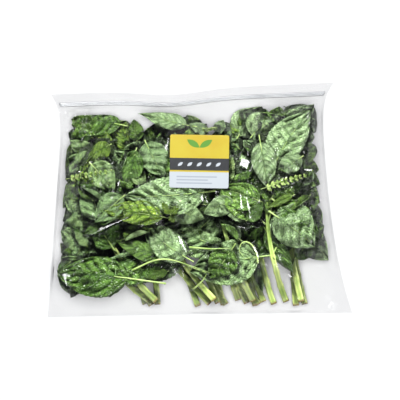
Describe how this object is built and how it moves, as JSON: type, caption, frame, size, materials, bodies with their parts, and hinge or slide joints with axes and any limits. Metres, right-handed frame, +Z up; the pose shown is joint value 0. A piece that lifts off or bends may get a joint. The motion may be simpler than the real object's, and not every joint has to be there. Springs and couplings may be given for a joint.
{
  "type": "basil bunch",
  "caption": "Bunch of cut basil sprigs with loose leaves on top, packed flat in a clear press-to-close bag with a label on its front.",
  "frame": {"origin": "centre of the bag's footprint, on the surface that it lies on", "axes": "+X along the bag's mouth, +Y from the cut stem ends to the mouth, +Z up out of the bag's front"},
  "size_m": [0.402, 0.31, 0.0704],
  "materials": {
    "basil_leaf": "satin leaf, darker on top and paler below",
    "bag_film": "clear, glossy, soft film",
    "zip_plastic": "milky clear",
    "label_paper": "coated, semi-gloss"
  },
  "bodies": {
    "root": {"basil_sprig_01": "basil_leaf", "basil_sprig_02": "basil_leaf", "basil_sprig_03": "basil_leaf", "basil_sprig_04": "basil_leaf", "basil_sprig_05": "basil_leaf", "basil_sprig_06": "basil_leaf", "basil_sprig_07": "basil_leaf", "basil_sprig_08": "basil_leaf", "basil_sprig_09": "basil_leaf", "basil_sprig_10": "basil_leaf", "basil_sprig_11": "basil_leaf", "basil_sprig_12": "basil_leaf", "basil_sprig_13": "basil_leaf", "basil_sprig_14": "basil_leaf", "basil_sprig_15": "basil_leaf", "basil_sprig_16": "basil_leaf", "plucked_leaf_01": "basil_leaf", "plucked_leaf_02": "basil_leaf", "plucked_leaf_03": "basil_leaf", "plucked_leaf_04": "basil_leaf", "plucked_leaf_05": "basil_leaf", "plucked_leaf_06": "basil_leaf", "plucked_leaf_07": "basil_leaf", "plucked_leaf_08": "basil_leaf", "plucked_leaf_09": "basil_leaf", "plucked_leaf_10": "basil_leaf", "plucked_leaf_11": "basil_leaf", "plucked_leaf_12": "basil_leaf", "bag": "bag_film", "zip_track_back": "zip_plastic", "zip_track_front": "zip_plastic", "label": "label_paper"}
  },
  "joints": []
}
